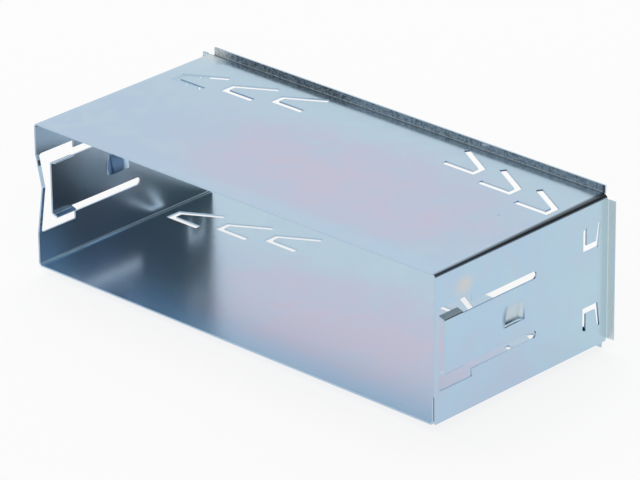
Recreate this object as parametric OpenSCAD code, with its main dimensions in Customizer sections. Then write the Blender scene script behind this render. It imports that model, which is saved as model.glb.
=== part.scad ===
// Mounting frame for a single-height car radio.
// One strip of plated sheet steel, folded into an open rectangular sleeve.
// X runs across the frame, Y from the rear opening to the front flange, Z up.
// The sub-modules measure from the sleeve's rear lower left corner, and the
// whole is then moved so that its bounding box stands on the origin.
// The strip starts as an upright lip inside the right wall, runs along the
// bottom, up the left wall and over the top, and comes down as the right wall.

/* [Sleeve] */
// Width over the two side walls
sleeve_w = 182; // [178:0.5:190]
// Height over the top and bottom plates
sleeve_h = 53; // [51:0.5:60]
// Depth from the rear edge to the front of the flange
sleeve_d = 84.3; // [82:0.1:110]
// Thickness of the sheet
sheet = 0.6; // [0.5:0.1:0.8]
// Outside radius of the four long bends
corner_r = 1.5; // [1.3:0.1:2]

/* [Front flange] */
// How far the flange stands out from the sleeve
flange_h = 2.75; // [2:0.25:6]
// Radius in the hollow of the flange's bend
flange_bend_r = 0.4; // [0.3:0.1:1]
// How far the top flange's left end stays clear of the long bend
flange_clear_left = 1.5; // [0:0.1:4]
// How far the left flange runs up beside the long bend
flange_ear_left = 1.1; // [0:0.1:1.4]
// How far the right flange's upper end stays clear of the long bend
flange_clear_right = 0.4; // [0:0.1:2]

/* [Lap seam] */
// Height of the lip inside the right wall
lip_h = 9.7; // [6:0.1:10]
// Clearance between the lip and the right wall
lip_gap = 0.3; // [0.3:0.1:0.8]
// Height at which the right wall's lower edge ends
wall_foot = 0.6; // [0.2:0.1:1]
// Rear edge to the place where the lip's upper edge starts to slope down
lip_slope_y = 70; // [60:0.5:75]
// Height of the lip at its front end
lip_front_h = 6.5; // [5:0.1:6.5]

/* [Fixing tabs in the top and bottom] */
// Number of tabs in each slanting row
tab_count = 3; // [1:1:3]
// Side wall to the tip of the outermost tab's cut
tab_x = 5.8; // [4:0.1:8]
// Rear edge to the near side of the outermost tab's cut
tab_y = 58; // [50:0.1:60]
// Step from one tab to the next across the frame
tab_step_x = 19.4; // [18:0.1:22]
// Step from one tab to the next towards the flange
tab_step_y = 4.2; // [2:0.1:4.5]
// Length of the cut along the tab's straight side
tab_len = 14.3; // [12:0.1:15]
// Width of the tab at its tip
tab_tip = 2.6; // [1.8:0.1:3]
// Width of the cut round the tab
tab_cut = 2.4; // [1:0.1:2.6]
// Angle between the tab's two sides
tab_angle = 30; // [20:0.5:31]
// How far the upper plate's rows sit to the right, and the lower plate's to the left
row_shift = 1.4; // [0:0.1:2]
// How much nearer to the rear edge the lower plate's rows are
lower_row_back = 1.1; // [0:0.1:3]

/* [Fixing tabs in the side walls] */
// Rear edge to the cut round the side tabs
side_tab_y = 71.4; // [66:0.1:72]
// Middle of the wall to the near side of a side tab's cut
side_tab_z = 10; // [8:0.1:11]
// Width of the cut at the tab's free end
side_cut_end = 2.3; // [1:0.1:2.5]
// Width of the cut on the side towards the rear
side_cut_rear = 1.6; // [1:0.1:2]
// Width of the cut on the side towards the flange
side_cut_front = 1.1; // [0.8:0.1:1.5]
// Width of a side tab at its free end
side_tab_tip = 4.7; // [4:0.1:6]
// Length of the cut from the middle of the wall outwards
side_cut_len = 8.6; // [6:0.1:9]
// How far a side tab widens towards its root
side_tab_flare = 1.2; // [0:0.1:1.5]

/* [Spring tongues in the side walls] */
// Height of the tongue's centre line
tongue_z = 26.5; // [25:0.1:28]
// Height of the tongue
tongue_h = 18.2; // [14:0.1:19]
// Height of the wide part of the opening round the tongue
window_h = 29.1; // [27:0.1:30]
// How far the left wall's openings sit too high, and the right wall's too low
opening_skew = 0.3; // [0:0.1:0.8]
// Width of the strip left along the rear edge
strip_w = 1.2; // [1:0.1:3]
// Clear space before the left tongue's free end
tongue_gap_left = 5.5; // [2:0.1:6]
// Clear space before the right tongue's free end
tongue_gap_right = 3.2; // [2:0.1:6]
// Rear edge to the step where the opening narrows
window_step_y = 17.2; // [16:0.1:20]
// Radius of the opening's two corners at the rear strip
window_r = 1.2; // [0.5:0.1:2]
// Rear edge to the rounded ends of the narrow slots
slot_end_y = 48.3; // [44:0.1:52]
// Height of the narrow slots
slot_h = 2.8; // [1.5:0.1:3]
// Inward crease of the left rear strip
strip_crease_left = 2.6; // [0:0.1:3]
// Inward crease of the right rear strip
strip_crease_right = 0; // [0:0.1:3]
// Height of the crease above the tongue's centre line
crease_rise = 3; // [-4:0.5:4]

/* [Flaps on the tongues] */
// Length of a flap along the tongue
flap_len = 8.8; // [6:0.1:9]
// How far a flap stands off the tongue
flap_h = 2.3; // [1.5:0.1:3.5]
// Angle of a flap from the tongue
flap_angle = 72; // [45:1:85]

/* [Pressed catches] */
// Rear edge to the middle of the catch
catch_y = 37.9; // [30:0.1:40]
// Height of the catch's open lower edge
catch_z = 23.2; // [21:0.1:24]
// Width of the catch at its open edge
catch_w = 9.5; // [7:0.1:11]
// Height of the catch up the tongue
catch_h = 7.5; // [6:0.1:9]
// Depth of the catch at its open edge
catch_depth = 1.4; // [1:0.1:2.4]
// Rounding along the catch's sides
catch_round = 1.6; // [0.5:0.1:2]

/* [Hidden] */
$fn = 64;

// Small overlap that joins one built shape to the next
lap = 0.05;
// Inside radius of the long bends
bend_inner_r = corner_r - sheet;
// Outer face of the lip, one sheet and the clearance inside the right wall
lip_face_x = sleeve_w - sheet - lip_gap;
// Depth at which the sleeve ends and the flange's bend starts
bend_start_y = sleeve_d - sheet - flange_bend_r;
// Half height of the opening round a tongue, wide part and narrow part
window_half = window_h / 2;
slot_half = tongue_h / 2 + slot_h;
// Slope of a tab's slanting side
tab_slope = tan(tab_angle);
// Width over a tab and its cut at the tip
tab_outer_tip = tab_cut + tab_tip + tab_cut * (1 / cos(tab_angle) - tab_slope);
// Radius of the catch's floor, which meets the wall at its upper end
catch_floor_r = (catch_h * catch_h + catch_depth * catch_depth) / (2 * catch_depth);
// How far the drawing of the catch reaches back, out of the wall
catch_back = 2 * catch_depth + 1;

sheet_colour = [0.69, 0.77, 0.85];

// A quarter of a ring in the plane, to the right of and below its centre.
module quarter_ring(inner_r) {
    outer_r = inner_r + sheet;
    intersection() {
        difference() {
            circle(r = outer_r);
            circle(r = inner_r);
        }
        translate([0, -outer_r])
            square(outer_r);
    }
}

// A rectangle with round corners, its lower left corner at the origin.
module round_rectangle(width, height, radius) {
    translate([radius, 0])
        square([width - 2 * radius, height]);
    translate([0, radius])
        square([width, height - 2 * radius]);
    for (x = [radius, width - radius], y = [radius, height - radius])
        translate([x, y])
            circle(r = radius);
}

// Lays a flat drawing made in X and Z across the frame, from Y = 0 on.
module along_depth(length) {
    translate([0, length, 0])
        rotate([90, 0, 0])
            linear_extrude(height = length)
                children();
}

// Lays a flat drawing made in Y and Z against the X direction, from X = 0 on.
module along_width(length) {
    rotate([90, 0, 90])
        linear_extrude(height = length)
            children();
}

// Closed section of a sleeve of the given width, full height.
module ring_section(width) {
    difference() {
        round_rectangle(width, sleeve_h, corner_r);
        translate([sheet, sheet])
            round_rectangle(width - 2 * sheet, sleeve_h - 2 * sheet, bend_inner_r);
    }
}

// Section of the sleeve. Below the lip's height its right side is opened, and
// gets the straight foot of the wall outside and the lip of the strip inside.
module sleeve_section() {
    split_x = lip_face_x - 2 * corner_r;

    difference() {
        ring_section(sleeve_w);
        translate([split_x, -lap])
            square([sleeve_w, lip_h + lap]);
    }
    translate([sleeve_w - sheet, wall_foot])
        square([sheet, lip_h]);
    intersection() {
        ring_section(lip_face_x);
        translate([split_x - lap, -lap])
            square([sleeve_w, lip_h + lap]);
    }
}

// Section of one flange in depth and outward distance, zero at the outer
// face of the wall that it grows from.
module flange_section() {
    translate([bend_start_y, flange_bend_r])
        quarter_ring(flange_bend_r);
    translate([sleeve_d - sheet, flange_bend_r])
        square([sheet, flange_h - flange_bend_r]);
    translate([bend_start_y - 1, -sheet])
        square([1, sheet]);
}

// One flange strip of the given length, on the upper face of a plate.
module flange_strip(length) {
    along_width(length)
        flange_section();
}

// The left flange's upper end, which stands clear of the long bend.
module flange_ear() {
    translate([-flange_h, sleeve_d - sheet, sleeve_h - corner_r - flange_h])
        cube([flange_h - flange_bend_r, sheet, flange_h + flange_ear_left]);
}

// The flange on all four sides. The strips stop at the long bends, which
// leaves the four corners open.
module front_flange() {
    side_len = sleeve_h - 2 * corner_r;

    translate([corner_r + flange_clear_left, 0, sleeve_h])
        flange_strip(sleeve_w - 2 * corner_r - flange_clear_left);
    mirror([0, 0, 1])
        translate([corner_r, 0, 0])
            flange_strip(lip_face_x - 2 * corner_r);
    translate([0, 0, corner_r])
        rotate([0, -90, 0])
            flange_strip(side_len);
    translate([sleeve_w, 0, sleeve_h - corner_r - flange_clear_right])
        rotate([0, 90, 0])
            flange_strip(side_len - flange_clear_right);
    flange_ear();
}

// What is cut off the lip's upper corner, so that it slopes down at the front.
module lip_corner() {
    translate([lip_face_x - 2 * sheet, 0, 0])
        along_width(2 * sheet + lip_gap / 2)
            polygon([
                [lip_slope_y, lip_h],
                [bend_start_y, lip_front_h],
                [sleeve_d, lip_front_h],
                [sleeve_d, lip_h + lap],
                [lip_slope_y, lip_h + lap]
            ]);
}

// Outline of the cut round one tapered tab, its outer corner at the origin.
module tab_cut_outline() {
    run = tab_len * [1, tab_slope];
    across = tab_cut * [sin(tab_angle), -cos(tab_angle)];
    far_corner = [0, tab_outer_tip];
    inner_far_y = far_corner.y + tab_slope * tab_cut - tab_cut / cos(tab_angle);

    polygon([
        [0, 0],
        far_corner,
        far_corner + run,
        far_corner + run + across,
        [tab_cut, inner_far_y],
        [tab_cut, tab_cut],
        [tab_len, tab_cut],
        [tab_len, 0]
    ]);
}

// The slanting row of tab cuts on the left half of one plate.
module tab_row(shift) {
    for (i = [0 : tab_count - 1])
        translate([tab_x + shift + i * tab_step_x, tab_y + i * tab_step_y, -lap])
            linear_extrude(height = sheet + 2 * lap)
                tab_cut_outline();
}

// Both rows of one plate, moved to the right by the shift.
module plate_rows(shift) {
    tab_row(shift);
    on_right_wall()
        tab_row(-shift);
}

// Outline of the cut round one side tab, in depth and height, its free end
// towards the middle of the wall.
module side_tab_outline() {
    inner_y = side_cut_rear + side_tab_tip;
    outer_y = inner_y + side_cut_front;

    polygon([
        [0, 0],
        [0, side_cut_len - side_cut_rear / 2],
        [side_cut_rear, side_cut_len],
        [side_cut_rear, side_cut_end],
        [inner_y, side_cut_end],
        [inner_y + side_tab_flare, side_cut_len],
        [outer_y + side_tab_flare, side_cut_len],
        [outer_y, 0]
    ]);
}

// Both side tab cuts of one wall, mirrored about the middle of its height.
module side_tab_pair() {
    translate([side_tab_y, sleeve_h / 2]) {
        translate([0, side_tab_z])
            side_tab_outline();
        mirror([0, 1])
            translate([0, side_tab_z])
                side_tab_outline();
    }
}

// Opening round a tongue: a wide part behind its free end and a narrow slot
// with a rounded end along each of its edges.
module window_outline(tongue_y) {
    round_end_y = slot_end_y - slot_h / 2;

    difference() {
        union() {
            translate([strip_w, window_r - window_half])
                square([window_step_y - strip_w, window_h - 2 * window_r]);
            translate([strip_w + window_r, -window_half])
                square([window_step_y - strip_w - window_r, window_h]);
            for (side = [-1, 1]) {
                translate([strip_w + window_r, side * (window_half - window_r)])
                    circle(r = window_r);
                translate([round_end_y, side * (slot_half - slot_h / 2)])
                    circle(d = slot_h);
            }
            translate([window_step_y - lap, -slot_half])
                square([round_end_y - window_step_y + lap, 2 * slot_half]);
        }
        translate([tongue_y, -tongue_h / 2])
            square([sleeve_d, tongue_h]);
    }
}

// The rear strip between the opening and the wall's edge, creased inwards.
// Drawn for the left wall, in X and Z.
module creased_strip(crease) {
    foot_z = tongue_z - window_half;
    head_z = tongue_z + window_half;
    peak_z = tongue_z + crease_rise;

    along_depth(strip_w)
        polygon([
            [0, foot_z - lap],
            [0, foot_z],
            [crease, peak_z],
            [0, head_z],
            [0, head_z + lap],
            [sheet, head_z + lap],
            [sheet, head_z],
            [sheet + crease, peak_z],
            [sheet, foot_z],
            [sheet, foot_z - lap]
        ]);
}

// Section of a flap in X and Z, on the upper edge of the left tongue at Z = 0.
// Its bend is a pie piece about the tongue's inner edge, and the flap goes on
// from there into the sleeve.
module flap_section() {
    far = 2 * sheet;

    translate([sheet, 0]) {
        intersection() {
            circle(r = sheet);
            polygon([
                [0, 0],
                [-far, 0],
                [-far, far * tan(flap_angle / 2)],
                far * [-cos(flap_angle), sin(flap_angle)]
            ]);
        }
        rotate(-flap_angle)
            translate([-sheet, 0])
                square([sheet, flap_h]);
    }
    translate([0, -lap])
        square([sheet, lap]);
}

// The flap on the tongue's upper edge, from the tongue's free end on.
module flap(tongue_y) {
    translate([0, tongue_y, tongue_z + tongue_h / 2])
        along_depth(flap_len)
            flap_section();
}

// Section across the catch, its floor on X = 0 and then grown by the skin.
module catch_section(skin) {
    half = catch_w / 2 + skin;
    radius = catch_round + skin;

    translate([skin, 0]) {
        translate([-catch_back, -half])
            square([catch_back - radius, 2 * half]);
        translate([-catch_back, radius - half])
            square([catch_back, 2 * (half - radius)]);
        for (side = [-1, 1])
            translate([-radius, side * (half - radius)])
                circle(r = radius);
    }
}

// The pressed catch as a curved trough with rounded sides, grown by the
// given skin. It starts at start_x and at the catch's lower edge.
module catch_trough(skin, start_x) {
    reach = catch_depth + 2 * skin + lap;

    intersection() {
        translate([catch_depth - catch_floor_r, catch_y, catch_z])
            rotate([90, 0, 180])
                rotate_extrude()
                    translate([catch_floor_r, 0])
                        catch_section(skin);
        translate([start_x, catch_y - catch_w, catch_z])
            cube([reach - start_x, 2 * catch_w, 2 * catch_h]);
    }
}

module catch_hollow() {
    catch_trough(0, -lap);
}

// The catch's own sheet, closed above and open along its lower edge.
module catch_shell() {
    difference() {
        catch_trough(sheet, sheet / 2);
        catch_hollow();
    }
}

// Everything cut out of the left wall. The strip's place is cleared too,
// as the creased strip is put there.
module wall_cuts(tongue_gap) {
    along_wall = 2 * lap + sheet;
    translate([-lap, 0, tongue_z])
        along_width(along_wall)
            window_outline(strip_w + tongue_gap);
    translate([-lap, -lap, tongue_z - window_half])
        cube([along_wall, strip_w + 2 * lap, window_h]);
    translate([-lap, 0, 0])
        along_width(along_wall)
            side_tab_pair();
    catch_hollow();
}

// Everything added to the left wall after its cuts.
module wall_forms(tongue_gap, crease) {
    tongue_y = strip_w + tongue_gap;
    creased_strip(crease);
    flap(tongue_y);
    translate([0, 0, 2 * tongue_z])
        mirror([0, 0, 1])
            flap(tongue_y);
    catch_shell();
}

// The same shapes on the right wall.
module on_right_wall() {
    translate([sleeve_w, 0, 0])
        mirror([1, 0, 0])
            children();
}

module mounting_frame() {
    color(sheet_colour) translate([-sleeve_w / 2, -sleeve_d / 2, flange_h]) {
        difference() {
            union() {
                along_depth(bend_start_y)
                    sleeve_section();
                front_flange();
            }
            translate([0, 0, sleeve_h - sheet])
                plate_rows(row_shift);
            translate([0, -lower_row_back, 0])
                plate_rows(-row_shift);
            lip_corner();
            translate([0, 0, opening_skew])
                wall_cuts(tongue_gap_left);
            on_right_wall()
                translate([0, 0, -opening_skew])
                    wall_cuts(tongue_gap_right);
        }
        translate([0, 0, opening_skew])
            wall_forms(tongue_gap_left, strip_crease_left);
        on_right_wall()
            translate([0, 0, -opening_skew])
                wall_forms(tongue_gap_right, strip_crease_right);
    }
}

mounting_frame();
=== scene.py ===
"""Dresses the folded sheet steel mounting frame of a car radio and sets up its studio."""

import math
import bmesh
import bpy
from bpy.props import (
    FloatProperty,
    FloatVectorProperty,
    PointerProperty,
)
from mathutils import Matrix, Vector
from mathutils.bvhtree import BVHTree


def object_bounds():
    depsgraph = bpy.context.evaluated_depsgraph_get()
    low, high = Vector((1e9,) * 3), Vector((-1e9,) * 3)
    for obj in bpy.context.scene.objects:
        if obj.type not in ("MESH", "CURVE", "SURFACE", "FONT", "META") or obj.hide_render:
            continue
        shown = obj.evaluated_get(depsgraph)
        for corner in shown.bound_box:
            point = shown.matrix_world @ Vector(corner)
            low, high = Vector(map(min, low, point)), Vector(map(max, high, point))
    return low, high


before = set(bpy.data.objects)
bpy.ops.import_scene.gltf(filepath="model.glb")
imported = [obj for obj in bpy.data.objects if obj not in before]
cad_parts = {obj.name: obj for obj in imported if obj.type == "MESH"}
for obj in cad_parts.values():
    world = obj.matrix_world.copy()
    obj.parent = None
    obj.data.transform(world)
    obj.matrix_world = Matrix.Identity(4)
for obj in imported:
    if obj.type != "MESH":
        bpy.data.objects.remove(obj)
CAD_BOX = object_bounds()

bl_info = {
    "name": "Radio Mounting Frame",
    "version": (1, 0, 0),
    "blender": (4, 5, 0),
    "location": "View3D > Sidebar > Radio Frame",
    "description": "Zinc plated finish, floor, light and camera for a folded mounting frame",
    "category": "Object",
}

MM = 0.001
SHEET_NODE = "mounting_frame"
CUT_MARK = "cut_edge"
WHITE = (1.0, 1.0, 1.0, 1.0)

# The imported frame's own sizes, from which every place on it is worked out.
SHEET = 0.6 * MM
FLANGE = 2.75 * MM
REAR_Y = CAD_BOX[0][1]
FRONT_Y = CAD_BOX[1][1]
FLANGE_REAR_Y = FRONT_Y - SHEET
WALL_X = CAD_BOX[1][0] - FLANGE
INNER_X = WALL_X - SHEET
TOP_Z = CAD_BOX[1][2] - FLANGE
TONGUE_Z = FLANGE + 26.5 * MM
TONGUE_TOP_Z = TONGUE_Z + 9.1 * MM
FLAP_END_Y = REAR_Y + 15.5 * MM
CATCH_Y = REAR_Y + 37.9 * MM
CATCH_Z = FLANGE + 26.7 * MM

# A face is skin when a ray from just under it meets the far side of the sheet within
# this many thicknesses. Otherwise it is a sheared edge.
RAY_START = 0.01 * MM
SKIN_THICKNESSES = 1.6

# The zones that the masks cover. An axis has an edge, from where the mask is 0 to where
# it is 1, or a band, with its low and high limits and the softness beyond them. The
# axis named aside is the distance from the middle, to either side.
LEFT_WALL_EDGE = (-INNER_X + 1.2 * MM, -INNER_X + 0.3 * MM)
FLANGE_REAR_BAND = (FLANGE_REAR_Y - 0.1 * MM, FLANGE_REAR_Y + 0.15 * MM, 0.1 * MM)
ZONES = {
    "plates": {"aside": (WALL_X - 1 * MM, WALL_X - 3.5 * MM)},
    "left_wall": {"across": LEFT_WALL_EDGE},
    "right_flange": {
        "across": (WALL_X - 0.1 * MM, WALL_X + 0.6 * MM),
        "along": FLANGE_REAR_BAND,
    },
    "top_flange": {
        "along": FLANGE_REAR_BAND,
        "height": (TOP_Z + 0.1 * MM, TOP_Z + 0.4 * MM),
    },
    # Painted shade on the left middle of the top flange.
    "top_flange_dark_part": {"across": (-70 * MM, -30 * MM, 14 * MM)},
    "right_flap": {
        "across": (WALL_X - 4 * MM, WALL_X - 0.3 * MM, 0.1 * MM),
        "along": (FLAP_END_Y + 0.6 * MM, FLAP_END_Y),
        "height": (TONGUE_TOP_Z - 0.7 * MM, TONGUE_TOP_Z + 2.2 * MM, 0.2 * MM),
    },
    "right_catch": {
        "across": (WALL_X - 3 * MM, WALL_X - 0.15 * MM, 0.1 * MM),
        "along": (CATCH_Y - 3.6 * MM, CATCH_Y + 4 * MM, 1.2 * MM),
        "height": (CATCH_Z - 4 * MM, CATCH_Z + 1.2 * MM, 2.6 * MM),
    },
    "above_catch_foot": {"height": (CATCH_Z - 4.4 * MM, CATCH_Z - 3.6 * MM)},
    "inside_right_skin": {"across": (WALL_X - 0.1 * MM, WALL_X - 0.3 * MM)},
    "top_front_left": {
        "across": (-WALL_X + 13 * MM, -WALL_X + 5 * MM),
        "along": (FRONT_Y - 8 * MM, FRONT_Y - 3 * MM),
        "height": (TOP_Z - 1.4 * MM, TOP_Z - 0.6 * MM),
    },
    "front_half": {"along": (-6 * MM, 34 * MM)},
    "rear_right": {
        "across": (-60 * MM, 10 * MM),
        "along": (REAR_Y + 12 * MM, REAR_Y + 3 * MM),
    },
    "left_wall_top_rear": {
        "across": LEFT_WALL_EDGE,
        "along": (REAR_Y + 28 * MM, REAR_Y + 12 * MM),
        "height": (TOP_Z - 14 * MM, TOP_Z - 11 * MM),
    },
    # Painted shade low on the left wall's rear.
    "left_wall_rear": {
        "across": LEFT_WALL_EDGE,
        "along": (REAR_Y + 36 * MM, REAR_Y + 10 * MM),
        "height": (TONGUE_Z - 14 * MM, TONGUE_Z - 6 * MM),
    },
    # The next three zones place painted shade along the top's right bend and in its front
    # bend.
    "top_side_bend": {"height": (TOP_Z - 0.7 * MM, TOP_Z - 0.4 * MM)},
    "side_bend_front": {"along": (REAR_Y, 10 * MM)},
    "top_front_bend": {
        "along": (FRONT_Y - 1.3 * MM, FRONT_Y - 0.7 * MM, 0.1 * MM),
        "height": (TOP_Z - 0.4 * MM, TOP_Z - 0.1 * MM),
    },
    "leaning_corner": {
        "across": (-INNER_X - 0.2 * MM, -INNER_X + 0.4 * MM, 0.5 * MM),
        "along": (REAR_Y + 30 * MM, REAR_Y + 8 * MM),
        "height": (TOP_Z + 1.25 * MM, TOP_Z - 12.75 * MM),
    },
    "rising_top": {
        "aside": (WALL_X - 1.6 * MM, WALL_X - 13 * MM),
        "height": (TOP_Z - 0.2 * MM, TOP_Z - 0.1 * MM),
    },
    "dipping_corner": {
        "across": (-WALL_X + 12 * MM, -WALL_X - 2 * MM),
        "along": (FRONT_Y - 22 * MM, FRONT_Y - 6 * MM),
        "height": (TOP_Z - 2.2 * MM, TOP_Z - 1.6 * MM),
    },
}

# The oval spots: each has its centre, its radii, and the share of the radii at which
# it starts to fade. The warm one takes in the top and the bottom plate alike.
EVERY_HEIGHT = 1.0
SPOTS = {
    "warm": ((22 * MM, -9 * MM, 30 * MM), (98 * MM, 50 * MM, EVERY_HEIGHT), 0.1),
    "left_catch": (
        (-INNER_X + 1.6 * MM, CATCH_Y - 2.4 * MM, CATCH_Z),
        (2.2 * MM, 5.4 * MM, 7 * MM),
        0.7,
    ),
    "stain": (
        (WALL_X, REAR_Y + 13.4 * MM, TOP_Z - 8 * MM),
        (3 * MM, 7 * MM, 5 * MM),
        0.0,
    ),
    "smudge": (
        (75.4 * MM, 5.4 * MM, TOP_Z),
        (1.0 * MM, 1.2 * MM, 1.0 * MM),
        0.1,
    ),
    # These two spots hold painted shade, beside the right catch and in the trough below it.
    "beside_catch": (
        (WALL_X, CATCH_Y - 4.3 * MM, CATCH_Z - 0.8 * MM),
        (3 * MM, 2.4 * MM, 5.4 * MM),
        0.0,
    ),
    "below_catch": (
        (WALL_X, CATCH_Y - 2 * MM, CATCH_Z - 4 * MM),
        (3 * MM, 5.2 * MM, 2.6 * MM),
        0.2,
    ),
}

# The film's mottled masks: the weights of its clouds and of its small patches, and the
# level that is added to them.
NOISE_MIDDLE = 0.5
MOTTLES = {
    "green": (-2.4, 2.6, 1.2),
    "lavender": (2.4, 2.0, -1.0),
    "front": (1.4, -2.0, 0.0),
    "warm": (2.2, 1.6, -0.2),
}

# Between these levels of the warm mask its two colours come in.
WARM_LAVENDER = (0.0, 0.6)
WARM_ROSE = (0.5, 1.25)

# The most that each colour of the film covers what lies under it. Two of them are painted
# light: a painted sheen on the top's front left corner and a painted shade over the left
# catch.
GREEN_SHARE = 0.55
LAVENDER_SHARE = 0.55
FRONT_SHARE = 0.65
REAR_SHARE = 0.6
# Painted sheen: a near-white colour that stands in for the bright reflection on the top's
# front left corner.
CORNER_SHEEN_SHARE = 0.5
# Painted shade over the left catch.
LEFT_CATCH_SHADE_SHARE = 0.95

# The same for the smudge, and for the painted shade round the right catch, in the top's
# front bend and low on the left wall's rear.
SMUDGE_SHARE = 0.45
CATCH_SHADE_SHARE = 0.9
FRONT_BEND_SHADE_SHARE = 0.6
LEFT_WALL_SHADE_SHARE = 0.45

# The stain's ragged outline.
STAIN_GRAIN = 5 * MM
STAIN_LEVELS = (0.3, 0.5)

# The painted shade along the top's right bend: where it starts at half depth, how much
# further in it starts for each metre towards the front, the width over which it fades in,
# the share that it covers at the rear, and what that gains towards the front.
SIDE_BEND_START = WALL_X - 2.3 * MM
SIDE_BEND_WIDENING = 0.018
SIDE_BEND_FADE = 1.5 * MM
SIDE_BEND_SHARE = 0.70
SIDE_BEND_GAIN = 0.20

# The top flange's fine specks and its painted shade: the noise levels at which the specks
# come in, what they and the part with painted shade cover, and how much less of both the
# lighter left end has.
SPECK_SIZE = 0.7 * MM
BRIGHT_SPECKS = (0.52, 0.68)
DARK_SPECKS = (0.54, 0.36)
BRIGHT_SPECK_SHARE = 0.45
DARK_SPECK_SHARE = 0.7
SHADE_PART_SHARE = 0.45
LIGHTER_FLANGE_END = 0.6

# What each part adds to the plating's roughness, and how far the mottling moves it.
MOTTLING_ROUGHNESS = 0.10
RIGHT_FLANGE_ROUGHNESS = 0.25
TOP_FRONT_LEFT_ROUGHNESS = 0.4
LEFT_WALL_ROUGHNESS = 0.05
CATCH_ROUGHNESS = 0.12
FLAP_ROUGHNESS = 0.15
STAIN_ROUGHNESS = 0.03

# From here on the top rises towards its flange.
RISE_Y = FRONT_Y - 8 * MM

# The two dim parts of the room: the direction of each, and the angles from it, in
# degrees, at which it is still full and at which it ends.
DIM_AHEAD = ((0.52, 0.66, 0.53), 18, 40)
DIM_BEHIND = ((-0.62, -0.56, 0.55), 14, 36)

CAMERA_SENSOR_WIDTH = 36.0
CAMERA_NEAR = 0.01
CAMERA_FAR = 50.0

# Sockets that Blender gives the same name, by number.
MIX_FACTOR = 0
MIX_FIRST_COLOUR = 6
MIX_SECOND_COLOUR = 7
MIX_COLOUR_RESULT = 2
FIRST_SHADER = 1
SECOND_SHADER = 2


class Value:
    """One output socket, with the arithmetic that shader maths is written in."""

    def __init__(self, tree, socket):
        self.tree = tree
        self.socket = socket

    def maths(self, operation, *terms, clamp=False):
        """Adds a Math node for the terms."""
        settings = {"operation": operation, "use_clamp": clamp}
        node = self.tree.add("ShaderNodeMath", settings, dict(enumerate(terms)))
        return node["Value"]

    def __add__(self, other):
        return self.maths("ADD", self, other)

    __radd__ = __add__

    def __sub__(self, other):
        return self.maths("SUBTRACT", self, other)

    def __rsub__(self, other):
        return self.maths("SUBTRACT", other, self)

    def __mul__(self, other):
        return self.maths("MULTIPLY", self, other)

    __rmul__ = __mul__

    def __truediv__(self, other):
        return self.maths("DIVIDE", self, other)

    def __abs__(self):
        return self.maths("ABSOLUTE", self)

    def limited(self):
        """The value held between 0 and 1."""
        return self.maths("ADD", self, 0.0, clamp=True)

    def larger(self, other):
        """The larger of two values."""
        return self.maths("MAXIMUM", self, other)

    def ramp(self, start, end):
        """A smooth step from 0 at start to 1 at end, whichever of them is lower."""
        settings = {"interpolation_type": "SMOOTHSTEP"}
        sockets = {"Value": self, "From Min": start, "From Max": end}
        return self.tree.add("ShaderNodeMapRange", settings, sockets)["Result"]

    def span(self, start, end, soft=None):
        """A ramp, or where soft is given a band with ends that fade over that width."""
        if soft is None:
            return self.ramp(start, end)
        return self.ramp(start - soft, start) * self.ramp(end + soft, end)


class Node:
    """A node that has been added, whose outputs are read by name or by number."""

    def __init__(self, tree, node):
        self.tree = tree
        self.node = node

    def __getitem__(self, key):
        return Value(self.tree, self.node.outputs[key])


class Tree:
    """The node tree of one material or of the world."""

    def __init__(self, owner):
        owner.use_nodes = True
        self.tree = owner.node_tree
        self.tree.nodes.clear()

    def add(self, kind, settings=None, sockets=None):
        """Adds a node of a type, with its settings first and then its sockets."""
        node = self.tree.nodes.new(kind)
        for name, value in (settings or {}).items():
            setattr(node, name, value)
        for key, value in (sockets or {}).items():
            if isinstance(value, Value):
                self.tree.links.new(value.socket, node.inputs[key])
            else:
                node.inputs[key].default_value = value
        return Node(self, node)

    def blend(self, factor, first, second):
        """Mixes two colours."""
        sockets = {
            MIX_FACTOR: factor,
            MIX_FIRST_COLOUR: opaque(first),
            MIX_SECOND_COLOUR: opaque(second),
        }
        return self.add("ShaderNodeMix", {"data_type": "RGBA"}, sockets)[MIX_COLOUR_RESULT]

    def layered(self, colour, layers):
        """A colour with further colours over it, each as far as its mask goes."""
        for mask, upper in layers:
            colour = self.blend(mask, colour, upper)
        return colour

    def noise(self, place, size, detail=2.0, roughness=0.5, distortion=0.0):
        """Noise whose features are about as large as size, in metres."""
        sockets = {
            "Vector": place,
            "Scale": 1.0 / size,
            "Detail": detail,
            "Roughness": roughness,
            "Distortion": distortion,
        }
        return self.add("ShaderNodeTexNoise", None, sockets)["Fac"]

    def vectors(self, operation, *terms):
        """Adds a Vector Math node for the terms."""
        settings = {"operation": operation}
        return self.add("ShaderNodeVectorMath", settings, dict(enumerate(terms)))

    def parts(self, vector):
        """The three components of a vector."""
        node = self.add("ShaderNodeSeparateXYZ", None, {"Vector": vector})
        return node["X"], node["Y"], node["Z"]


def opaque(colour):
    """A colour with its alpha, or a link as it is."""
    if isinstance(colour, Value):
        return colour
    return (*colour[:3], 1.0)


def colour_property(name, description, default):
    """A colour that the panel shows."""
    return FloatVectorProperty(
        name=name,
        description=description,
        subtype="COLOR",
        min=0.0,
        max=1.0,
        default=default,
    )


def length_property(name, description, default):
    """A length in metres that the panel shows."""
    return FloatProperty(
        name=name,
        description=description,
        unit="LENGTH",
        precision=5,
        min=0.0,
        default=default,
    )


def factor_property(name, description, default):
    """A share from 0 to 1 that the panel shows."""
    return FloatProperty(
        name=name,
        description=description,
        subtype="FACTOR",
        min=0.0,
        max=1.0,
        default=default,
    )


def angle_property(name, description, degrees):
    """An angle that the panel shows."""
    return FloatProperty(
        name=name,
        description=description,
        subtype="ANGLE",
        default=math.radians(degrees),
    )


def place_property(name, description, default):
    """A point in metres that the panel shows."""
    return FloatVectorProperty(
        name=name,
        description=description,
        subtype="XYZ",
        unit="LENGTH",
        default=default,
    )


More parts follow.
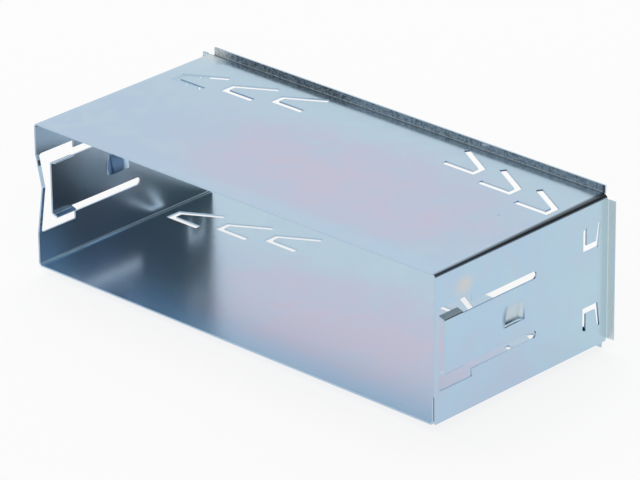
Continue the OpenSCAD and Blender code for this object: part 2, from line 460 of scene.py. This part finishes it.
class PlatingSettings(bpy.types.PropertyGroup):
    """The zinc plating and its passivated film, with a painted sheen and a painted shade
    among its colours.
    """

    blue: colour_property(
        "Blue film", "Colour of most of the top and bottom", (0.445, 0.570, 0.725)
    )
    cyan: colour_property(
        "Cyan film", "Colour of the side walls", (0.450, 0.610, 0.760)
    )
    green: colour_property(
        "Green film", "Colour near the flange", (0.480, 0.655, 0.720)
    )
    lavender: colour_property(
        "Lavender film", "Colour of the warmer clouds", (0.505, 0.545, 0.690)
    )
    rose: colour_property(
        "Rose film", "Colour at the heart of the warmer clouds", (0.550, 0.525, 0.655)
    )
    # Painted sheen: a near-white colour that stands in for the bright reflection on the
    # right flange and the top's front left corner.
    painted_sheen: colour_property(
        "Painted sheen", "Colour of the right side's flange", (0.920, 0.920, 0.870)
    )
    flange: colour_property("Flange film", "Colour of the top flange", (0.50, 0.60, 0.69))
    flap: colour_property("Flap film", "Colour of the upper right flap", (0.67, 0.70, 0.61))
    pressed: colour_property(
        "Pressed film", "Colour of the film over the right catch", (0.594, 0.695, 0.737)
    )
    # Painted shade over the left catch.
    left_catch_shade: colour_property(
        "Left catch shade", "Colour of the painted shade over the left catch", (0.08, 0.15, 0.27)
    )
    corner: colour_property(
        "Corner film", "Colour of the left wall's upper rear corner", (0.55, 0.77, 1.0)
    )
    bare: colour_property("Cut edge", "Colour of the sheared edges", (0.46, 0.60, 0.73))
    patch_size: length_property("Patches", "Size of the small patches in the film", 0.011)
    cloud_size: length_property("Cloud size", "Size of the film's clouds", 0.032)
    grain_size: length_property("Grain size", "Size of the plating's mottling", 0.0011)
    grain_depth: length_property("Grain depth", "Depth of the mottling", 0.000014)
    wave_size: length_property("Wave size", "Length of the sheet's slight waves", 0.045)
    wave_depth: length_property("Wave depth", "Depth of the sheet's waves", 0.0001)
    roughness: factor_property("Roughness", "Roughness of the plating", 0.21)
    edge_roughness: factor_property("Edge roughness", "Roughness of the cuts", 0.30)


class WearAndShadeSettings(bpy.types.PropertyGroup):
    """The few marks on the frame, the painted shade in its bends, round its catches and on
    its top flange, and where its sheet isn't quite flat.
    """

    stain: colour_property(
        "Stain", "Colour of the stain and of the flange's bright specks", (0.72, 0.64, 0.54)
    )
    stain_strength: factor_property("Stain strength", "How strongly it shows", 0.6)
    smudge: colour_property(
        "Smudge", "Colour of the small smudge on the top", (0.30, 0.38, 0.50)
    )
    # Painted shade beside and below the right catch.
    catch_shade: colour_property(
        "Catch shade", "Colour of the grime round the right catch", (0.12, 0.19, 0.28)
    )
    # Painted shade in the top's bends and low on the left wall's rear.
    shadow: colour_property(
        "Shadow", "Colour of the painted shade in the bends", (0.03, 0.032, 0.036)
    )
    # Dark specks and painted shade on the top flange.
    flange_specks_and_shade: colour_property(
        "Flange specks and shade", "Colour of the dark specks and painted shade on the top flange", (0.14, 0.15, 0.17)
    )
    front_rise: FloatProperty(
        name="Front rise", description="Slope of the top towards its flange", default=0.045
    )
    corner_dip: length_property(
        "Corner dip", "How far the top's left front corner dips", 0.0006
    )
    corner_lean: length_property(
        "Corner lean", "How far the left wall's upper rear corner leans out", 0.0007
    )


class StudioSettings(bpy.types.PropertyGroup):
    """The floor, the light and the camera."""

    floor_size: length_property("Floor size", "Width of the floor", 6.0)
    floor: colour_property("Floor", "Colour of the floor", (0.92, 0.92, 0.92))
    floor_glow: factor_property(
        "Floor white", "Share of plain white that the floor shows", 0.82
    )
    room: FloatProperty(
        name="Room light", description="Strength of the white room", default=0.95
    )
    shade_ahead: factor_property(
        "Shade ahead", "How much darker the room is ahead on the right", 0.90
    )
    shade_behind: factor_property(
        "Shade behind", "How much darker the room is behind on the left", 0.52
    )
    lamp_power: FloatProperty(
        name="Lamp", description="Power of the soft lamp", unit="POWER", default=4.0
    )
    lamp_size: length_property("Lamp size", "Width of the soft lamp", 1.0)
    lamp_place: place_property("Lamp place", "Middle of the soft lamp", (-0.5, 0.3, 1.4))
    azimuth: angle_property("Azimuth", "Turn of the camera round the frame", 43.613)
    elevation: angle_property(
        "Elevation", "Height of the camera above the horizon", 24.468
    )
    roll: angle_property("Roll", "Turn of the camera about its own axis", -0.663)
    distance: length_property("Distance", "From the camera to its target", 1.5996)
    target: place_property(
        "Target",
        "Point that the camera looks at",
        (1.637 * MM, -0.51 * MM, 26.552 * MM),
    )
    lens: FloatProperty(
        name="Lens",
        description="Focal length of the camera in millimetres",
        unit="CAMERA",
        default=270.56,
    )


class FrameSettings(bpy.types.PropertyGroup):
    """Everything that can be changed from the panel."""

    plating: PointerProperty(type=PlatingSettings)
    wear_and_shade: PointerProperty(type=WearAndShadeSettings)
    studio: PointerProperty(type=StudioSettings)


def mark_cut_edges(mesh):
    """Stores on each face whether it is a sheared edge and not the skin of the sheet."""
    faces = BVHTree.FromPolygons(
        [v.co for v in mesh.vertices], [p.vertices[:] for p in mesh.polygons]
    )
    marks = []
    for polygon in mesh.polygons:
        inward = -polygon.normal
        start = polygon.center + inward * RAY_START
        *_, depth = faces.ray_cast(start, inward)
        sheared = depth is None or depth > SKIN_THICKNESSES * SHEET
        marks.append(float(sheared))
    attribute = mesh.attributes.new(CUT_MARK, "FLOAT", "FACE")
    attribute.data.foreach_set("value", marks)


class Skin:
    """The sheet's surface: where a point lies, and masks for its parts."""

    def __init__(self, tree):
        self.tree = tree
        self.place = tree.add("ShaderNodeTexCoord")["Object"]
        self.cut = tree.add("ShaderNodeAttribute", {"attribute_name": CUT_MARK})["Fac"]
        self.across, self.along, height = tree.parts(self.place)
        self.axes = {
            "across": self.across,
            "aside": abs(self.across),
            "along": self.along,
            "height": height,
        }
        self.zones = {name: self.mask(spans) for name, spans in ZONES.items()}

    def mask(self, spans):
        """A mask of the points that lie within the spans of all the axes given."""
        return math.prod(self.axes[axis].span(*span) for axis, span in spans.items())

    def __getitem__(self, name):
        """The mask of a named zone."""
        return self.zones[name]

    def spot(self, name):
        """The mask of a named oval spot: 1 inside, 0 beyond its radii."""
        centre, radii, fade = SPOTS[name]
        offset = self.tree.vectors("SUBTRACT", self.place, centre)["Vector"]
        scaled = self.tree.vectors("DIVIDE", offset, radii)["Vector"]
        return self.tree.vectors("LENGTH", scaled)["Value"].ramp(1.0, fade)

    def side_bend(self):
        """The mask of the painted shade along the top's right bend."""
        start = SIDE_BEND_START - self.along * SIDE_BEND_WIDENING
        clear = 1 - ((self.across - start) / SIDE_BEND_FADE).limited()
        share = self["side_bend_front"] * SIDE_BEND_GAIN + SIDE_BEND_SHARE
        return (1 - clear * clear) * self["top_side_bend"] * share

    def stain(self):
        """The mask of the stain near the right wall's upper rear corner."""
        ragged = self.tree.noise(self.place, STAIN_GRAIN).ramp(*STAIN_LEVELS)
        return self.spot("stain") * ragged


def film_colour(tree, skin, plating):
    """Clouds of blue, lavender and green film, what differs at the bends, a painted sheen on
    the right flange and the top's front left corner, and a painted shade over the left
    catch.
    """
    clouds = tree.noise(
        skin.place, plating.cloud_size, detail=2.5, roughness=0.55, distortion=0.5
    )
    patches = tree.noise(skin.place, plating.patch_size, distortion=0.6) - NOISE_MIDDLE
    mottled = {}
    for name, (cloud_weight, patch_weight, level) in MOTTLES.items():
        mottled[name] = clouds * cloud_weight + patches * patch_weight + level

    plates = skin["plates"]
    green = mottled["green"].limited()
    lavender = mottled["lavender"].limited() * (1 - plates)
    front = mottled["front"].limited() * skin["front_half"]
    warm = (mottled["warm"] * skin.spot("warm")).limited() * plates
    return tree.layered(
        tree.blend(plates, plating.cyan, plating.blue),
        (
            (green * GREEN_SHARE, plating.green),
            (lavender * LAVENDER_SHARE, plating.lavender),
            (front * FRONT_SHARE, plating.green),
            (warm.ramp(*WARM_LAVENDER), plating.lavender),
            (warm.ramp(*WARM_ROSE), plating.rose),
            (skin["rear_right"] * plates * REAR_SHARE, plating.cyan),
            (skin["top_flange"], plating.flange),
            # Painted sheen on the top's front left corner and on the right flange.
            (skin["top_front_left"] * CORNER_SHEEN_SHARE, plating.painted_sheen),
            (skin["right_flange"], plating.painted_sheen),
            (skin["right_flap"], plating.flap),
            # Painted shade over the left catch.
            (skin.spot("left_catch") * LEFT_CATCH_SHADE_SHARE, plating.left_catch_shade),
            (skin["left_wall_top_rear"], plating.corner),
            (skin["right_catch"], plating.pressed),
        ),
    )


def marks_and_shade_colour(tree, skin, film, stain, wear_and_shade):
    """The film with its stain and smudge, the top flange's specks, and painted shade round
    the right catch, in the bends, low on the left wall's rear and on the top flange.
    """
    beside_catch = skin.spot("beside_catch") * skin["above_catch_foot"]
    below_catch = skin.spot("below_catch") * skin["inside_right_skin"]

    specks = tree.noise(skin.place, SPECK_SIZE)
    bright = skin["top_flange"] * specks.ramp(*BRIGHT_SPECKS)
    dark = specks.ramp(*DARK_SPECKS) * DARK_SPECK_SHARE
    # The flange's left middle gets painted shade over its dark specks.
    dark = dark + skin["top_flange_dark_part"] * SHADE_PART_SHARE
    flange_specks_and_shade = skin["top_flange"] * dark * (1 - skin["top_front_left"] * LIGHTER_FLANGE_END)
    return tree.layered(
        film,
        (
            (stain * wear_and_shade.stain_strength, wear_and_shade.stain),
            (skin.spot("smudge") * SMUDGE_SHARE, wear_and_shade.smudge),
            # Painted shade beside and below the right catch.
            (beside_catch * CATCH_SHADE_SHARE, wear_and_shade.catch_shade),
            (below_catch * CATCH_SHADE_SHARE, wear_and_shade.catch_shade),
            # Painted shade along the top's bends and low on the left wall's rear.
            (skin.side_bend(), wear_and_shade.shadow),
            (skin["top_front_bend"] * FRONT_BEND_SHADE_SHARE, wear_and_shade.shadow),
            (skin["left_wall_rear"] * LEFT_WALL_SHADE_SHARE, wear_and_shade.shadow),
            (bright * BRIGHT_SPECK_SHARE, wear_and_shade.stain),
            # Dark specks and painted shade on the top flange.
            (flange_specks_and_shade, wear_and_shade.flange_specks_and_shade),
        ),
    )


def sheet_relief(tree, skin, plating, wear_and_shade, grain):
    """The surface's small heights: mottling, waves and the places that lean."""
    waves = tree.noise(skin.place, plating.wave_size, detail=1.0)
    rise = (skin.along.larger(RISE_Y) - RISE_Y) * wear_and_shade.front_rise * skin["rising_top"]
    return (
        grain * plating.grain_depth
        + waves * plating.wave_depth
        + skin["leaning_corner"] * wear_and_shade.corner_lean
        + rise
        - skin["dipping_corner"] * wear_and_shade.corner_dip
    )


def sheet_roughness(skin, plating, stain, grain):
    """The plating's roughness, with what its cut edges and other parts add to it."""
    mottling = (grain - NOISE_MIDDLE) * MOTTLING_ROUGHNESS * (1 - skin["left_wall"])
    return (
        plating.roughness
        + mottling
        + skin.cut * (plating.edge_roughness - plating.roughness)
        + skin["right_flange"] * RIGHT_FLANGE_ROUGHNESS
        + skin["top_front_left"] * TOP_FRONT_LEFT_ROUGHNESS
        + skin["left_wall"] * LEFT_WALL_ROUGHNESS
        + skin["right_catch"] * CATCH_ROUGHNESS
        + skin["right_flap"] * FLAP_ROUGHNESS
        + stain * STAIN_ROUGHNESS
    )


def plated_material(name, plating, wear_and_shade):
    """Zinc plated steel with a thin coloured film."""
    material = bpy.data.materials.new(name)
    tree = Tree(material)
    skin = Skin(tree)
    grain = tree.noise(skin.place, plating.grain_size, detail=3.0, roughness=0.6)
    stain = skin.stain()
    film = film_colour(tree, skin, plating)
    film = marks_and_shade_colour(tree, skin, film, stain, wear_and_shade)
    relief = {
        "Strength": 1.0,
        "Distance": 1.0,
        "Height": sheet_relief(tree, skin, plating, wear_and_shade, grain),
    }
    finish = {
        "Base Color": tree.blend(skin.cut, film, plating.bare),
        "Metallic": 1.0,
        "Roughness": sheet_roughness(skin, plating, stain, grain),
        "Normal": tree.add("ShaderNodeBump", None, relief)["Normal"],
    }
    surface = tree.add("ShaderNodeBsdfPrincipled", None, finish)["BSDF"]
    tree.add("ShaderNodeOutputMaterial", None, {"Surface": surface})
    return material


def floor_material(studio):
    """A pale floor that keeps the shadow and shows white to the camera and to metal."""
    material = bpy.data.materials.new("floor_paper")
    tree = Tree(material)
    rays = tree.add("ShaderNodeLightPath")
    seen = rays["Is Camera Ray"].larger(rays["Is Glossy Ray"])
    seen = seen.larger(rays["Is Transmission Ray"])
    paper = tree.add("ShaderNodeBsdfDiffuse", None, {"Color": opaque(studio.floor)})
    white = tree.add("ShaderNodeEmission", None, {"Strength": 1.0})
    shaders = {
        "Fac": seen * studio.floor_glow,
        FIRST_SHADER: paper["BSDF"],
        SECOND_SHADER: white["Emission"],
    }
    mixed = tree.add("ShaderNodeMixShader", None, shaders)["Shader"]
    tree.add("ShaderNodeOutputMaterial", None, {"Surface": mixed})
    return material


def dim_part(tree, ray, direction, inner, outer):
    """How far a ray's direction lies within a dim part of the room."""
    toward = Vector(direction).normalized()
    closeness = tree.vectors("DOT_PRODUCT", ray, toward)["Value"]
    return closeness.ramp(math.cos(math.radians(outer)), math.cos(math.radians(inner)))


def build_room(studio):
    """White to the camera, and a soft white room with two dimmer sides to the metal."""
    world = bpy.data.worlds.new("room")
    bpy.context.scene.world = world
    tree = Tree(world)
    ray = tree.add("ShaderNodeTexCoord")["Generated"]
    ahead = dim_part(tree, ray, *DIM_AHEAD)
    behind = dim_part(tree, ray, *DIM_BEHIND)
    light = 1 - ahead * studio.shade_ahead - behind * studio.shade_behind
    seen = tree.add("ShaderNodeLightPath")["Is Camera Ray"]
    strength = seen + (1 - seen) * light * studio.room
    background = tree.add(
        "ShaderNodeBackground", None, {"Color": WHITE, "Strength": strength}
    )["Background"]
    tree.add("ShaderNodeOutputWorld", None, {"Surface": background})


def build_floor(studio):
    """The floor that the frame stands on."""
    form = bmesh.new()
    bmesh.ops.create_grid(form, x_segments=1, y_segments=1, size=studio.floor_size / 2)
    mesh = bpy.data.meshes.new("floor")
    form.to_mesh(mesh)
    form.free()
    floor = bpy.data.objects.new("floor", mesh)
    floor.data.materials.append(floor_material(studio))
    bpy.context.scene.collection.objects.link(floor)


def build_lamp(studio):
    """One large soft lamp above the frame, which the metal doesn't mirror."""
    light = bpy.data.lights.new("soft_lamp", "AREA")
    light.shape = "SQUARE"
    light.size = studio.lamp_size
    light.energy = studio.lamp_power
    lamp = bpy.data.objects.new("soft_lamp", light)
    lamp.visible_glossy = False
    bpy.context.scene.collection.objects.link(lamp)
    lamp.location = studio.lamp_place
    aim = Vector(studio.target) - lamp.location
    lamp.rotation_euler = aim.to_track_quat("-Z", "Y").to_euler()


def build_camera(studio):
    """The camera, at the photograph's angle."""
    turn, rise = studio.azimuth, studio.elevation
    back = Vector(
        (
            math.sin(turn) * math.cos(rise),
            -math.cos(turn) * math.cos(rise),
            math.sin(rise),
        )
    )
    right = Vector((math.cos(turn), math.sin(turn), 0.0))
    axes = Matrix((right, back.cross(right), back)).transposed()
    axes = axes @ Matrix.Rotation(studio.roll, 3, "Z")
    place = Vector(studio.target) + back * studio.distance
    data = bpy.data.cameras.new("camera")
    data.sensor_fit = "HORIZONTAL"
    data.sensor_width = CAMERA_SENSOR_WIDTH
    data.lens = studio.lens
    data.clip_start = CAMERA_NEAR
    data.clip_end = CAMERA_FAR
    camera = bpy.data.objects.new("camera", data)
    bpy.context.scene.collection.objects.link(camera)
    camera.matrix_world = Matrix.Translation(place) @ axes.to_4x4()
    bpy.context.scene.camera = camera


class RADIOFRAME_OT_plating(bpy.types.Operator):
    """Give the folded sheet its zinc plated finish"""

    bl_idname = "radioframe.plating"
    bl_label = "Plate the Frame"

    def execute(self, context):
        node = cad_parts.get(SHEET_NODE)
        if node is None:
            raise RuntimeError(f"the packed model has no node {SHEET_NODE}")
        settings = context.scene.radio_frame
        mark_cut_edges(node.data)
        material = plated_material("plated_sheet", settings.plating, settings.wear_and_shade)
        for slot in node.material_slots:
            slot.link = "OBJECT"
            slot.material = material
        return {"FINISHED"}


class RADIOFRAME_OT_stage(bpy.types.Operator):
    """Set up the floor, the light and the camera"""

    bl_idname = "radioframe.stage"
    bl_label = "Set the Stage"

    def execute(self, context):
        studio = context.scene.radio_frame.studio
        context.scene.view_settings.view_transform = "Standard"
        build_room(studio)
        build_floor(studio)
        build_lamp(studio)
        build_camera(studio)
        if context.scene.camera is None:
            raise RuntimeError("the camera wasn't made")
        return {"FINISHED"}


class RADIOFRAME_PT_panel(bpy.types.Panel):
    """The frame's finish and studio"""

    bl_label = "Radio Frame"
    bl_idname = "RADIOFRAME_PT_panel"
    bl_space_type = "VIEW_3D"
    bl_region_type = "UI"
    bl_category = "Radio Frame"

    def draw(self, context):
        settings = context.scene.radio_frame
        groups = (
            (settings.plating, "radioframe.plating"),
            (settings.wear_and_shade, None),
            (settings.studio, "radioframe.stage"),
        )
        for group, operator in groups:
            box = self.layout.box()
            for name in group.__annotations__:
                box.prop(group, name)
            if operator:
                box.operator(operator)


CLASSES = (
    PlatingSettings,
    WearAndShadeSettings,
    StudioSettings,
    FrameSettings,
    RADIOFRAME_OT_plating,
    RADIOFRAME_OT_stage,
    RADIOFRAME_PT_panel,
)


def register():
    """Adds the classes to Blender, and the settings to its scenes."""
    for item in CLASSES:
        bpy.utils.register_class(item)
    bpy.types.Scene.radio_frame = PointerProperty(type=FrameSettings)


def unregister():
    """Takes the settings and the classes out again."""
    del bpy.types.Scene.radio_frame
    for item in reversed(CLASSES):
        bpy.utils.unregister_class(item)


def main():
    """Builds everything."""
    register()
    bpy.ops.radioframe.stage()
    bpy.ops.radioframe.plating()


if __name__ == "__main__":
    main()
